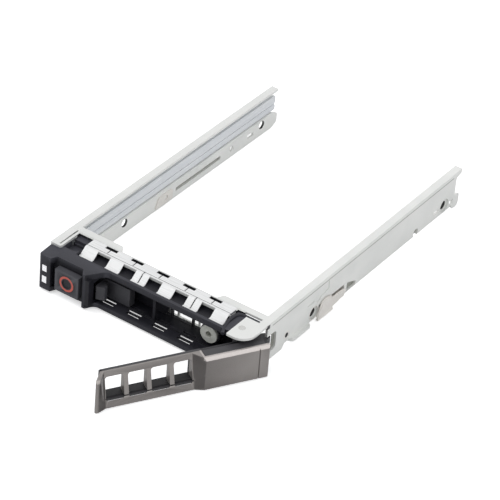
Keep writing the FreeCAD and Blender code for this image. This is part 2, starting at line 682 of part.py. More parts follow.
def bezel():
    """The moulded front: LED block, button recess, open cavity behind the handle."""
    front = Piece("bezel")
    floor = bezel_floor + s.bottom_plate
    upper_web = bezel_top - s.groove_floor
    lower_web = bezel_floor + s.groove_floor
    arm_rear = web_front - s.running
    rear = s.back_wall_front + s.back_wall
    groove_left = s.running - housing_left
    wall_right = web_right - 0.3
    front.pad("XY_Plane", ceiling, bezel_top, plate_outline(s.top_edge, arm_rear))
    # LED block, joined to the lower plate
    front.pad("XY_Plane", floor - 0.2, ceiling + 0.2,
              [(0.3 - bezel_left, 0, s.bezel_chamfer), (-led_right, 0), (-led_right, s.button_recess + 2),
               (-led_right - 0.4, s.left_lip_front - s.snug), (-bezel_left, s.left_lip_front - s.snug)])
    front.pad("XY_Plane", bezel_floor, floor, plate_outline(s.bottom_edge, arm_rear))
    # frame round the button, and the divider that the latch slides through
    front.pad("XZ_Plane", s.button_recess, s.strip_rear - 2.7,
              box(-led_right, floor - 0.2, -divider_left, ceiling + 0.2))
    front.pad("XY_Plane", floor - 0.2, ceiling + 0.2,
              box(-divider_left, 0, -divider_right, s.housing_front - s.running))
    # grooves under the gasket fingers, and the webs that reach back into the cross bar
    grooves = box(-bar_left - 0.2, s.strip_rear, bar_right + 1.4, s.bar_front + 1)
    front.pocket("XY_Plane", upper_web, bezel_top + 1, grooves)
    corner_right = -bar_left - s.running
    front.pad("XY_Plane", lower_web, lower_web + 0.8, box(groove_left, s.strip_rear + 0.4, wall_right, rear))
    front.pocket("XY_Plane", bezel_floor - 1, lower_web, grooves)
    front.pad("XY_Plane", ceiling, upper_web, box(groove_left, s.bar_front - 1, wall_right, rear))
    front.pad("XZ_Plane", s.back_wall_front, rear,
              box(-divider_left + s.running, lower_web, wall_right, upper_web))
    for low, high in ((flange_low + s.sheet + s.snug, lower_web + 0.2), (upper_web - 0.2, flange_high - s.sheet - s.snug)):
        front.pad("XZ_Plane", s.back_wall_front, rear, box(-divider_left + s.running, low, bar_right, high))
    # the deep corner left of the upper groove
    front.pocket("XY_Plane", ceiling - s.snug, bezel_top + 1,
                 [(groove_left, s.strip_rear + 0.8, 0.4), (corner_right, s.strip_rear + 0.8, 1.6),
                  (corner_right, s.bar_front + 1), (groove_left, s.bar_front + 1)])
    # right end wall beside the hinge, boss of the rivet, mullion of the cavity
    front.pad("YZ_Plane", wall_right - 1.0, wall_right,
              box(s.hinge_y + s.hub_radius, lower_web + 0.6, rear, ceiling + 0.2))
    front.pad("XZ_Plane", s.rivet_front + s.rivet_head, s.back_wall_front + 0.2,
              Circle(rivet_x, s.rivet_z, s.rivet_head_radius + 0.4))
    front.pad("XY_Plane", lower_web + 0.2, ceiling + 0.2,
              box(s.mullion_left, s.mullion_front, s.mullion_left + s.mullion_width,
                  s.mullion_front + s.mullion_depth))
    front.pocket("XZ_Plane", s.rivet_front, rear + 1, Circle(rivet_x, s.rivet_z, s.rivet_radius + 0.03))
    # seat of the button, slot of the latch, LED channels
    gap = s.running
    front.pocket("XZ_Plane", -1, s.button_recess + 3,
                 box(-button_left - gap, s.button_floor - gap, -button_left + button_width + gap,
                     s.button_floor + button_height + gap))
    front.pocket("YZ_Plane", -divider_left - 0.5, -divider_right + 0.5,
                 box(s.hook_front - gap, s.latch_floor - gap, s.housing_front + 1,
                     s.latch_floor + latch_height + gap))
    for low, height in ((s.upper_window_floor, s.upper_window_height), (s.lower_window_floor, s.lower_window_height)):
        front.pocket("XZ_Plane", -1, s.left_lip_front + 1,
                     box(-pipe_window_left - s.snug, low - s.snug, -pipe_window_right + s.snug,
                         low + height + s.snug))
    front.pocket("YZ_Plane", -bezel_left - 1, -pipe_window_right + s.snug,
                 box(s.left_lip_front - 1.2, s.lower_window_floor - s.snug, s.left_lip_front + 1,
                     s.upper_window_floor + s.upper_window_height + s.snug))
    # windows of the back wall, vents of the floor, room for the hinge hub
    small, *large = back_windows()
    front.pocket("XZ_Plane", s.back_wall_front - 1, rear + 1,
                 [(small[0], small[1]), (small[2], small[1]), (small[2], small[3])],
                 *[box(left, low, right, high) for left, low, right, high in large])
    for group in range(4):
        left = (group - 1.5) * s.vent_group_pitch - s.vent_length / 2
        slots = [box(left, s.vent_front + row * s.vent_pitch, left + s.vent_length,
                     s.vent_front + row * s.vent_pitch + s.vent_width) for row in range(3)]
        front.pocket("XY_Plane", bezel_floor - 1, lower_web + 1, *slots)
        front.pocket("XY_Plane", bezel_floor - 1, floor - s.vent_floor,
                     box(left - 0.4, s.vent_front - 0.4, left + s.vent_length + 0.4, s.strip_rear + s.snug))
    front.pocket("XY_Plane", bezel_floor - 1, bezel_top + 1,
                 Circle(hinge_x, s.hinge_y, s.hub_radius + 0.3))
    front.place(y=setback)
    return front


def light_pipe(label, window_floor, window_height, floor, height):
    """A clear pipe: a stub behind its LED window, a rise, and a run along the left rail."""
    pipe = Piece(label)
    face = s.snug
    right = -inside + s.pipe_depth
    end = rail_end - s.pipe_tail
    pipe.pad("YZ_Plane", -inside, right,
             [(s.left_lip_front - 0.6, window_floor), (s.pipe_rise_start, window_floor), (s.pipe_rise_end, floor),
              (end, floor, 0.8), (end, floor + height, 0.8), (s.pipe_rise_end, floor + height),
              (s.pipe_rise_start, window_floor + window_height),
              (s.left_lip_front - 0.6, window_floor + window_height)])
    pipe.pad("XZ_Plane", face, s.pipe_rise_start,
             box(-pipe_window_left, window_floor, -pipe_window_right, window_floor + window_height))
    pipe.place(y=setback)
    return pipe


def release_button():
    """The square push button, with a seat for its ring and a wedge that drives the latch."""
    button = Piece("release_button")
    left = -button_left
    right = left + button_width
    z0, z1 = s.button_floor, s.button_floor + button_height
    face = s.button_face
    centre_x = left + button_width / 2
    centre_z = z0 + button_height / 2
    button.pad("XZ_Plane", face, s.button_depth, box(left, z0, right, z1))
    button.pad("XY_Plane", s.wedge_floor, s.wedge_floor + s.wedge_height,
               [(-wedge_right - s.wedge, s.button_depth), (-wedge_right, s.button_depth),
                (-wedge_right, s.button_depth + s.wedge)])
    button.pocket("XZ_Plane", face - 1, face + s.ring_depth,
                  Circle(centre_x, centre_z, s.ring_radius),
                  Circle(centre_x, centre_z, s.ring_radius - s.ring_width))
    button.pocket("XZ_Plane", face - 1, face + s.dimple_depth, Circle(centre_x, centre_z, s.dimple_radius))
    button.pocket("XZ_Plane", s.button_depth - 1.5, s.button_depth + 1,
                  Circle(-coil_x, s.wedge_floor + s.wedge_height / 2, s.coil_radius + s.coil_wire + 0.1))
    button.place(y=setback)
    ring = Piece("button_ring")
    ring.pad("XZ_Plane", face, face + s.ring_depth,
             Circle(centre_x, centre_z, s.ring_radius),
             Circle(centre_x, centre_z, s.ring_radius - s.ring_width))
    ring.place(y=setback)
    return button


def latch():
    """The sliding latch: a bar with a ramped window for the button's wedge, and a hook."""
    slide = Piece("latch")
    z0, z1 = s.latch_floor, s.latch_floor + latch_height
    rear = s.latch_front + s.latch_depth
    slide.pad("XY_Plane", z0, z1, box(-latch_left, s.latch_front, -latch_right, rear))
    slide.pad("XY_Plane", z0 + 0.8, z1 - 0.8,
              [(-hook_left, rear - 0.5), (-hook_left, s.hook_front, 0.4),
               (-hook_right, s.hook_front + 1.0, 0.3), (-hook_right, s.hook_front + 2.2),
               (-hook_right - 1.2, s.hook_front + 2.8), (-hook_right - 1.2, rear - 0.5)])
    gap = s.running
    lead = -wedge_right - s.wedge - gap * 1.5
    slide.pocket("XY_Plane", s.wedge_floor - gap, s.wedge_floor + s.wedge_height + gap,
                 [(lead - 0.5, s.button_depth - 0.5), (-wedge_right + s.button_travel + gap, s.button_depth - 0.5),
                  (-wedge_right + s.button_travel + gap, rear + 1), (lead + rear - s.button_depth + 1, rear + 1)])
    slide.place(y=setback)
    return slide


def latch_housing():
    """The moulded block behind the button: back stop of the spring and guide of the latch."""
    block = Piece("latch_housing")
    left = -housing_left
    right = -divider_left
    low = flange_low + s.sheet + s.snug
    high = flange_high - s.sheet - s.snug
    web_low = bezel_floor + s.groove_floor + 0.8 + s.snug
    web_high = bezel_top - s.top_plate - s.snug
    block.pad("XY_Plane", web_low, web_high, box(left, s.housing_front, right, web_front))
    block.pad("XY_Plane", low, high, box(left, s.back_wall_front + s.back_wall + s.snug, right, web_front))
    block.pocket("XY_Plane", s.wedge_floor - 0.5, s.wedge_floor + s.wedge_height + 0.5,
                 box(-wedge_right - 2.5, s.housing_front - 1, right - 0.8,
                     s.button_depth + s.wedge + s.button_travel + 0.4))
    block.pocket("XZ_Plane", s.housing_front - 1, s.coil_seat,
                 Circle(-coil_x, s.wedge_floor + s.wedge_height / 2, s.coil_radius + s.coil_wire + 0.1))
    block.place(y=setback)
    return block


def coil(label, wire, radius, length, turns):
    """A coil of square wire about its own Z axis, from z = 0 up."""
    spring = Piece(label)
    profile = spring.sketch("XZ_Plane", 0, [box(radius - wire, 0, radius + wire, wire * 2)])
    turn = spring.body.newObject("PartDesign::AdditiveHelix", f"{label}_helix")
    turn.Profile = profile
    turn.ReferenceAxis = (profile, ["V_Axis"])
    turn.Mode = 0
    turn.Pitch = (float(length) - 2 * float(wire)) / float(turns)
    turn.Height = float(length) - 2 * float(wire)
    bind(turn, "Pitch", (length - 2 * wire) / turns)
    bind(turn, "Height", length - 2 * wire)
    profile.Visibility = False
    return spring


def springs():
    """The button's pressure coil and the handle's twist coil."""
    seat = s.button_depth - 1.5
    push = coil("button_spring", s.coil_wire, s.coil_radius, s.coil_seat - seat, s.coil_turns)
    push.body.Placement = FreeCAD.Placement(FreeCAD.Vector(0, 0, 0), FreeCAD.Rotation(FreeCAD.Vector(1, 0, 0), -90))
    bind(push.body, "Placement.Base.x", -coil_x)
    bind(push.body, "Placement.Base.y", seat - s.origin_behind_front)
    bind(push.body, "Placement.Base.z", s.wedge_floor + s.wedge_height / 2)
    twist = coil("handle_spring", s.twist_wire, s.pin_radius + s.twist_wire + s.snug,
                 s.twist_height, s.twist_turns)
    twist.place(x=hinge_x, y=s.hinge_y - s.origin_behind_front, z=twist_floor)


def slant(z):
    """How far the front of the handle's window panel is set back at a height."""
    rise = (s.panel_setback_high - s.panel_setback_low) / handle_height
    return s.panel_setback_low + rise * (z - s.handle_floor)


def place_on_hinge(piece):
    """Sets a piece drawn about the hinge axis on the hinge, with the handle open."""
    piece.place(x=hinge_x, y=s.hinge_y - s.origin_behind_front, angle=s.open_angle)


def handle_cover():
    """The handle's moulded cover: a solid end at the hinge, a slanted panel with four windows."""
    cover = Piece("handle_cover")
    z0 = s.handle_floor
    z1 = z0 + handle_height
    face = -s.handle_face
    back = -s.cover_back
    tip = -handle_length
    cover.pad("XY_Plane", z0, z1,
              [(tip, face, 0.5), (handle_end, face, 0.8), (handle_end, back, 0.6), (-panel_left - 0.6, back, 1.0),
               (tip + 1.0, face + 1.0)])
    # the front is set back between the two ends, more at the top than at the bottom
    low, high = z0 - 1, z1 + 1
    left = -panel_left
    right = -s.panel_right
    cover.pocket("YZ_Plane", left, right,
                 [(face - 1, low), (face + slant(low), low), (face + slant(high), high), (face - 1, high)])
    for side, edge, blend in ((-1, left, s.panel_blend_left), (1, right, s.panel_blend_right)):
        wedge = cover.sketch("YZ_Plane", edge,
                             [[(face - 1, low), (face + slant(low), low), (face + slant(high), high), (face - 1, high)]])
        thin = cover.sketch("YZ_Plane", edge + side * blend,
                            [[(face - 1, low), (face - 0.02, low), (face - 0.01, high), (face - 1, high)]])
        loft = cover.body.newObject("PartDesign::SubtractiveLoft", f"handle_cover_blend_{cover.steps}")
        loft.Profile = wedge
        loft.Sections = [thin]
        loft.Ruled = True
        wedge.Visibility = False
        thin.Visibility = False
    # the underside is open behind the front wall; the tip is hollow round the latch's hook
    front_wall = face + s.cover_front_wall
    cover.pocket("XY_Plane", z0 - 1, s.cover_shelf, box(tip - 1, front_wall, handle_end + 1, 0))
    cover.pocket("XY_Plane", z0 - 1, z1 - 1.2, box(tip - 1, face + 1.4, left - 0.7, 0))
    cover.pocket("XY_Plane", z1 - 0.75, z1 + 1, box(tip - 1, back - 0.7, right + s.panel_blend_right, 0))
    # beside the hinge only the front wall is the cover's
    cover.pocket("XY_Plane", z0 - 1, z1 + 1,
                 box(right + s.panel_blend_right, face + s.cover_end_wall, handle_end + 1, 0))
    cover.pocket("XZ_Plane", face - 1, face + s.cover_groove,
                 box(s.hub_radius, z0 - 1, s.hub_radius + s.cover_groove, z1 + 1))
    # deep windows with straight bars between them
    z2 = z0 + s.window_floor
    z3 = z1 - s.window_headroom
    r = s.window_corner
    windows = []
    for number in range(int(float(s.window_count))):
        x0 = window_pitch * number - window_left
        x1 = x0 + window_pitch - s.window_bar
        windows.append([(x0, z2, r), (x1, z2, r), (x1, z3, r), (x0, z3, r)])
    cover.pocket("XZ_Plane", face - 1, 0, *windows)
    # bevel along the top of both thick ends
    bevel = s.handle_chamfer
    cover.pocket("YZ_Plane", tip - 1, handle_end + 1,
                 [(face - 0.1, z1 - bevel), (face + bevel, z1 + 0.1), (face - 0.1, z1 + 0.1)])
    place_on_hinge(cover)
    return cover


def handle_lever():
    """The handle's inner lever: hub, claw, a solid end and an open frame behind the windows."""
    lever = Piece("handle_lever")
    back = s.lever_wall - s.cover_back
    front = s.snug / 5 - s.cover_back
    z0 = lever_floor
    z1 = s.handle_floor + handle_height - 0.8
    block_left = s.panel_blend_right + s.running - s.panel_right
    block_front = s.cover_end_wall + s.snug / 5 - s.handle_face
    hub_low = s.sheet + s.running
    hub_high = top - s.sheet - s.running
    lever.pad("XZ_Plane", front, back, box(-lever_left, z0, 3.4, z1))
    lever.pad("XY_Plane", z0, z0 + s.lever_shelf,
              box(-lever_left, -s.lever_shelf_front, block_left + s.running, back))
    lever.pad("XY_Plane", z0, z1, box(block_left, block_front, handle_end - 1.2, front + s.snug))
    lever.pad("XY_Plane", z1 - 0.2, z1 + s.lever_brow,
              box(block_left, block_front, handle_end - 1.2, -s.lever_brow_back))
    lever.pad("XY_Plane", hub_low, hub_high, Circle(0, 0, s.hub_radius))
    lever.pad("XY_Plane", claw_floor, claw_top,
              [(0, -2.2), (3.4, -2.2), (5.0, -1.5, 1.0), (claw_reach - 1.4, -1.5, 0.4), (claw_reach, -0.6, 0.5),
               (claw_reach, 0.9, 0.5), (claw_reach - 1.0, 1.6, 0.5), (3.0, 2.2, 1.5), (0, 2.4)])
    lever.pocket("XZ_Plane", front - 1, back + 1,
                 box(-window_left, z0 + s.lever_shelf, -window_right, z1 - 0.8))
    # the bore of the pin, and the recess of the twist coil
    lever.pocket("XY_Plane", hub_low - 1, hub_high + 1, Circle(0, 0, s.pin_radius + 0.05))
    lever.pocket("XY_Plane", twist_floor - s.snug, twist_floor + s.twist_height + s.snug,
                 Circle(0, 0, s.pin_radius + 3 * s.twist_wire + 2 * s.snug))
    place_on_hinge(lever)
    return lever


def small_parts():
    """Hinge pin, tubular rivet of the bezel and the two rail clips."""
    pin = Piece("hinge_pin")
    pin.pad("XY_Plane", 0, top, Circle(0, 0, s.pin_radius))
    pin.place(x=hinge_x, y=s.hinge_y - s.origin_behind_front)

    rivet = Piece("bezel_rivet")
    head_rear = s.rivet_front + s.rivet_head
    rivet.pad("XZ_Plane", s.rivet_front, head_rear, Circle(rivet_x, s.rivet_z, s.rivet_head_radius))
    rivet.pad("XZ_Plane", head_rear, s.web_rear + s.rivet_tail, Circle(rivet_x, s.rivet_z, s.rivet_radius))
    rivet.pad("XZ_Plane", s.web_rear, s.web_rear + s.rivet_tail, Circle(rivet_x, s.rivet_z, s.rivet_radius + 0.7))
    rivet.pocket("XZ_Plane", s.rivet_front - 1, s.web_rear + 1, Circle(rivet_x, s.rivet_z, s.rivet_bore))
    rivet.place(y=setback)

    clip = Piece("rail_clip_right")
    front = clip_front
    rear = front + s.clip_length
    thick = s.clip_sheet
    low = s.clip_floor
    high = low + s.clip_height
    plate_front = s.drive_hole_y + s.drive_boss_radius + s.running
    clip.pad("YZ_Plane", inside - thick, inside,
             [(plate_front, 1.8), (rear + 0.6, 1.8), (rear + 0.6, high, 1.0), (plate_front, high, 1.0)])
    clip.pad("YZ_Plane", inside - thick, half + s.tab_reach * 0.4,
             [(front + 1.2, 1.6), (rear - 1.6, 1.6), (rear - 1.6, 1.6 + thick), (front + 1.2, 1.6 + thick)])
    clip.pad("YZ_Plane", half + s.tab_reach * 0.4 - thick, half + s.tab_reach * 0.4,
             [(front + 1.2, 1.6, 0.3), (rear - 1.6, 1.6, 0.3), (rear - 2.4, 3.6, 0.5), (front + 3.0, 3.6, 0.5)])
    clip.place(y=setback)

    other = Piece("rail_clip_left")
    front = left_clip_front
    rear = front + s.left_clip_length
    wall = -bay
    other.pad("YZ_Plane", wall, wall + thick,
              [(front, 0.8, 0.5), (rear, 0.8, 0.8), (rear, 4.6, 0.8), (front + 2.0, 4.6, 1.0)])
    other.pocket("YZ_Plane", wall - 1, wall + thick + 1, Circle((front + rear) / 2 + 1.2, 2.8, 0.9))
    other.place(y=setback)


steel_frame()
bezel()
emi_gasket("emi_gasket_top", True)
emi_gasket("emi_gasket_bottom", False)
light_pipe("light_pipe_upper", s.upper_window_floor, s.upper_window_height, upper_pipe_floor, upper_pipe_height)
light_pipe("light_pipe_lower", s.lower_window_floor, s.lower_window_height, lower_pipe_floor, s.lower_pipe_height)
release_button()
latch()
latch_housing()
springs()
handle_cover()
handle_lever()
small_parts()
doc.recompute()

for item in doc.Objects:
    if "Invalid" in item.State or "Error" in item.State:
        raise RuntimeError(f"{item.Name} did not build: {item.State}")

os.makedirs("parts", exist_ok=True)
for piece in pieces:
    shape = piece.body.Shape
    if shape.isNull() or not shape.isValid():
        raise RuntimeError(f"{piece.body.Label} has no valid shape")
    shape.exportStep(f"parts/{piece.body.Label}.step")
    print(f"{piece.body.Label}: {len(shape.Solids)} solid, {shape.Volume:.1f} mm3")
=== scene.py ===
"""Materials, small added pieces, light and camera for the hot swap drive caddy.

The object's sizes are in millimetres, and its places are given as x from mid width to the
right, y behind the bezel's front face and z above the underside. They become metres where
they are used. The floor's size, the lamps and the camera are in metres.
"""

import math

import bmesh
import bpy
from mathutils import Matrix, Vector

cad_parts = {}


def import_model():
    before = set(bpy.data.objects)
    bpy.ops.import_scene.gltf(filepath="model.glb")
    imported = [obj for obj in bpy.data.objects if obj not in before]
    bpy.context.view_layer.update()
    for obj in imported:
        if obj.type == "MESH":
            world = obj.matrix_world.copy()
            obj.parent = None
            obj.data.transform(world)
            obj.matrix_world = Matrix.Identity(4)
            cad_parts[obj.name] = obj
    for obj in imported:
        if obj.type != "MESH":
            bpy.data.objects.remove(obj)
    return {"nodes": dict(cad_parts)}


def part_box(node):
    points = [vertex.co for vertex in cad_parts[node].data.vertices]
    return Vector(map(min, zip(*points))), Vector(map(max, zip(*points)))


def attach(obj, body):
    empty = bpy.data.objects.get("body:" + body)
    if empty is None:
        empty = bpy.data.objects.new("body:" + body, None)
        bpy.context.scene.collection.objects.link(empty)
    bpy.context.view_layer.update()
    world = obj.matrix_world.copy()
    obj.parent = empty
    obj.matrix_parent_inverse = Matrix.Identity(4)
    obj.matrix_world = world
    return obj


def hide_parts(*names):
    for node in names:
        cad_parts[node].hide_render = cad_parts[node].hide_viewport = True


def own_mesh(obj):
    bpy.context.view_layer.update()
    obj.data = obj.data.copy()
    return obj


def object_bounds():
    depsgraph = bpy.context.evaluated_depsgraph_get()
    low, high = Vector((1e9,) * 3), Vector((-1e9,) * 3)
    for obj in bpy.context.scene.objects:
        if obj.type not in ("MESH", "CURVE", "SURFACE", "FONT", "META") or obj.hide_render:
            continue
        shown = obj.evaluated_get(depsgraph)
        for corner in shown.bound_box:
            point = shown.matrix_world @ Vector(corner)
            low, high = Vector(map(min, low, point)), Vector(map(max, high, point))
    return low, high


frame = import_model()
cad_box = [list(corner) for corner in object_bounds()]
nodes = frame["nodes"]
MM = 0.001
front_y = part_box("bezel")[0][1]
pin_low, pin_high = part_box("hinge_pin")
hinge = Vector(((pin_low[0] + pin_high[0]) / 2, (pin_low[1] + pin_high[1]) / 2, 0))
open_angle = math.radians(58.9)

# holes of the rails, and how far the painted shade in their bores reaches
drive_hole_y = 40.6
drive_hole_pitch = 76.6
front_hole_y = 25.9
hole_z = 4.2
drive_bore_shade = 1.54
front_bore_shade = 0.84

# the row of slots between the gasket's fingers
slot_left = -23.2
slot_width = 4.48
slot_pitch = 9.88
slot_count = 5
slot_front, slot_rear = 14.45, 15.8
slot_floor, slot_top = 12.6, 14.6

# where the added pieces lie on the rails: outer face, inner sheets and the clip
right_face = 38.0
right_leaf = (36.95, 37.19)
left_leaf = (-36.15, -35.82)
clip_face = 37.98


# ---------------------------------------------------------------- materials

class Shader:
    """A small builder for one procedural material, in object coordinates."""

    def __init__(self, name):
        self.material = bpy.data.materials.new(name)
        self.material.use_nodes = True
        self.tree = self.material.node_tree
        self.bsdf = self.tree.nodes["Principled BSDF"]
        self.place = self.add("ShaderNodeTexCoord").outputs["Object"]
        self.normal = None

    def add(self, kind, **values):
        node = self.tree.nodes.new(kind)
        for name, value in values.items():
            setattr(node, name, value)
        return node

    def link(self, out, into):
        self.tree.links.new(out, into)

    def stretched(self, scale):
        """Object coordinates multiplied along each axis, for grain with a direction."""
        mapping = self.add("ShaderNodeMapping")
        mapping.inputs["Scale"].default_value = scale
        self.link(self.place, mapping.inputs["Vector"])
        return mapping.outputs["Vector"]

    def noise(self, size, detail=4.0, rough=0.55, scale=(1, 1, 1)):
        """Fractal noise whose features are about size metres across."""
        noise = self.add("ShaderNodeTexNoise")
        noise.inputs["Scale"].default_value = 1.0 / size
        noise.inputs["Detail"].default_value = detail
        noise.inputs["Roughness"].default_value = rough
        self.link(self.stretched(scale), noise.inputs["Vector"])
        return noise.outputs["Fac"]

    def ramp(self, value, low, high, dark, light):
        """Colours between dark and light as value goes from low to high."""
        ramp = self.add("ShaderNodeValToRGB")
        ramp.color_ramp.elements[0].position = low
        ramp.color_ramp.elements[0].color = (*dark, 1)
        ramp.color_ramp.elements[1].position = high
        ramp.color_ramp.elements[1].color = (*light, 1)
        self.link(value, ramp.inputs["Fac"])
        return ramp.outputs["Color"]

    def spread(self, value, low, high):
        """A number between low and high as value goes from 0.3 to 0.7."""
        spread = self.add("ShaderNodeMapRange")
        spread.inputs["From Min"].default_value = 0.3
        spread.inputs["From Max"].default_value = 0.7
        spread.inputs["To Min"].default_value = low
        spread.inputs["To Max"].default_value = high
        self.link(value, spread.inputs["Value"])
        return spread.outputs["Result"]

    def axes(self):
        """The three object coordinates, each as a number in metres."""
        split = self.add("ShaderNodeSeparateXYZ")
        self.link(self.place, split.inputs["Vector"])
        return split.outputs["X"], split.outputs["Y"], split.outputs["Z"]

    def math(self, operation, first, second):
        """One math node. Each of the two inputs is a number or another node's output."""
        step = self.add("ShaderNodeMath", operation=operation)
        for socket, value in zip(step.inputs, (first, second)):
            if isinstance(value, (int, float)):
                socket.default_value = value
            else:
                self.link(value, socket)
        return step.outputs["Value"]

    def within(self, value, middle, reach):
        """1 where value is nearer to middle than reach, and 0 elsewhere."""
        away = self.math("ABSOLUTE", self.math("SUBTRACT", value, middle), 0)
        return self.math("LESS_THAN", away, reach)

    def round_spot(self, y, z, radius):
        """1 inside a round spot of the side walls, and 0 elsewhere."""
        _, along, up = self.axes()
        y = self.math("POWER", self.math("SUBTRACT", along, y), 2)
        z = self.math("POWER", self.math("SUBTRACT", up, z), 2)
        return self.math("LESS_THAN", self.math("ADD", y, z), radius ** 2)

    def plain(self, colour):
        """One colour as an input for mix."""
        return self.ramp(self.noise(0.3 * MM), 0.3, 0.7, tuple(0.9 * c for c in colour), colour)

    def mix(self, factor, first, second):
        """The first colour where factor is 0, and the second where it is 1."""
        mix = self.add("ShaderNodeMix", data_type="RGBA")
        self.link(factor, mix.inputs["Factor"])
        self.link(first, mix.inputs["A"])
        self.link(second, mix.inputs["B"])
        return mix.outputs["Result"]

    def colour(self, out):
        self.link(out, self.bsdf.inputs["Base Color"])

    def roughness(self, out):
        self.link(out, self.bsdf.inputs["Roughness"])

    def round_edges(self, radius):
        """Rounds the shading of sharp edges over radius."""
        bevel = self.add("ShaderNodeBevel", samples=4)
        bevel.inputs["Radius"].default_value = radius
        self.normal = bevel.outputs["Normal"]
        self.link(self.normal, self.bsdf.inputs["Normal"])

    def bump(self, height, strength, distance):
        """Adds a fine relief on top of the normals set so far."""
        bump = self.add("ShaderNodeBump")
        bump.inputs["Strength"].default_value = strength
        bump.inputs["Distance"].default_value = distance
        self.link(height, bump.inputs["Height"])
        if self.normal:
            self.link(self.normal, bump.inputs["Normal"])
        self.normal = bump.outputs["Normal"]
        self.link(self.normal, self.bsdf.inputs["Normal"])

    def edge_wear_and_sheen(self, base, edge_pale, amount):
        """Lightens the base colour along sharp edges, broken up by fine noise: partly edge wear, partly a
        painted highlight on the edges.
        """
        curve = self.add("ShaderNodeNewGeometry").outputs["Pointiness"]
        edge = self.add("ShaderNodeMapRange")
        edge.inputs["From Min"].default_value = 0.52
        edge.inputs["From Max"].default_value = 0.60
        edge.inputs["To Max"].default_value = amount
        self.link(curve, edge.inputs["Value"])
        edge_pale_colour = self.ramp(self.noise(0.4 * MM), 0.35, 0.6, edge_pale, edge_pale)
        return self.mix(edge.outputs["Result"], base, edge_pale_colour)

    def set(self, **values):
        """Sets the shader's own sockets to one value all over."""
        names = {
            "metal": "Metallic",
            "coat": "Coat Weight",
            "coat_rough": "Coat Roughness",
            "clear": "Transmission Weight",
            "specular": "Specular IOR Level",
            "ior": "IOR",
        }
        for name, value in values.items():
            self.bsdf.inputs[names[name]].default_value = value


def plated_steel():
    """Zinc-plated sheet: light grey with a fine rolled grain along the caddy."""
    steel = Shader("plated_steel")
    grain = steel.noise(0.25 * MM, 5, 0.6, (1, 0.04, 1))
    cloud = steel.noise(9 * MM, 3, 0.5)
    base = steel.ramp(cloud, 0.35, 0.68, (0.74, 0.75, 0.73), (0.82, 0.825, 0.80))
    base = steel.edge_wear_and_sheen(base, (0.86, 0.86, 0.84), 0.5)
    bores = [(drive_hole_y, drive_bore_shade), (drive_hole_y + drive_hole_pitch, drive_bore_shade),
             (front_hole_y, front_bore_shade)]
    # painted shade: each bore is painted near black inside, where shade falls in the hole
    for y, radius in bores:
        bore = steel.round_spot(front_y + y * MM, hole_z * MM, radius * MM)
        base = steel.mix(bore, base, steel.plain((0.05, 0.05, 0.05)))
    # painted shade: the insides of the web's slots, and the flange seen through the gasket's slits, are
    # painted near black where they lie in shadow
    slot_middle, slot_reach = 15.2, 0.79
    slit_middle, slit_reach = 13.35, 1.6
    under_top, under_top_reach = 13.23, 0.74
    flange_z, flange_reach = 14.0, 0.04
    _, along, up = steel.axes()
    slots = steel.math("MULTIPLY", steel.within(along, front_y + slot_middle * MM, slot_reach * MM),
                       steel.within(up, under_top * MM, under_top_reach * MM))
    slits = steel.math("MULTIPLY", steel.within(along, front_y + slit_middle * MM, slit_reach * MM),
                       steel.within(up, flange_z * MM, flange_reach * MM))
    base = steel.mix(steel.math("MAXIMUM", slots, slits), base, steel.plain((0.03, 0.03, 0.035)))
    steel.colour(base)
    steel.roughness(steel.spread(grain, 0.36, 0.52))
    steel.set(metal=0.2)
    steel.round_edges(0.15 * MM)
    steel.bump(grain, 0.12, 0.02 * MM)
    return steel.material


def bright_spring():
    """The gasket's bright rolled strip, nearly white."""
    strip = Shader("bright_spring")
    grain = strip.noise(0.5 * MM, 2, 0.4, (0.05, 1, 1))
    base = strip.ramp(strip.noise(5 * MM), 0.3, 0.7, (0.86, 0.86, 0.855), (0.91, 0.91, 0.905))
    # painted shade: a dark line across the strip where the fingers fold, for the shade in the crease
    fold_y, fold_reach = 12.35, 0.09
    fold_shade = strip.within(strip.axes()[1], front_y + fold_y * MM, fold_reach * MM)
    strip.colour(strip.mix(fold_shade, base, strip.plain((0.12, 0.12, 0.12))))
    strip.roughness(strip.spread(grain, 0.22, 0.38))
    strip.set(metal=0.05, specular=0.4)
    strip.bump(grain, 0.02, 0.01 * MM)
    return strip.material


def black_moulding(name, dark, light, rough, grain_size):
    """Moulded black plastic with a fine pebbled grain and slightly paler edges."""
    black = Shader(name)
    pebble = black.noise(grain_size, 3, 0.7)
    cloud = black.noise(6 * MM, 3, 0.5)
    base = black.ramp(cloud, 0.3, 0.7, dark, light)
    black.colour(black.edge_wear_and_sheen(base, tuple(3.2 * c + 0.03 for c in light), 0.6))
    black.roughness(black.spread(pebble, rough - 0.08, rough + 0.10))
    black.set(specular=0.28)
    black.round_edges(0.12 * MM)
    black.bump(pebble, 0.45, 0.05 * MM)
    return black.material


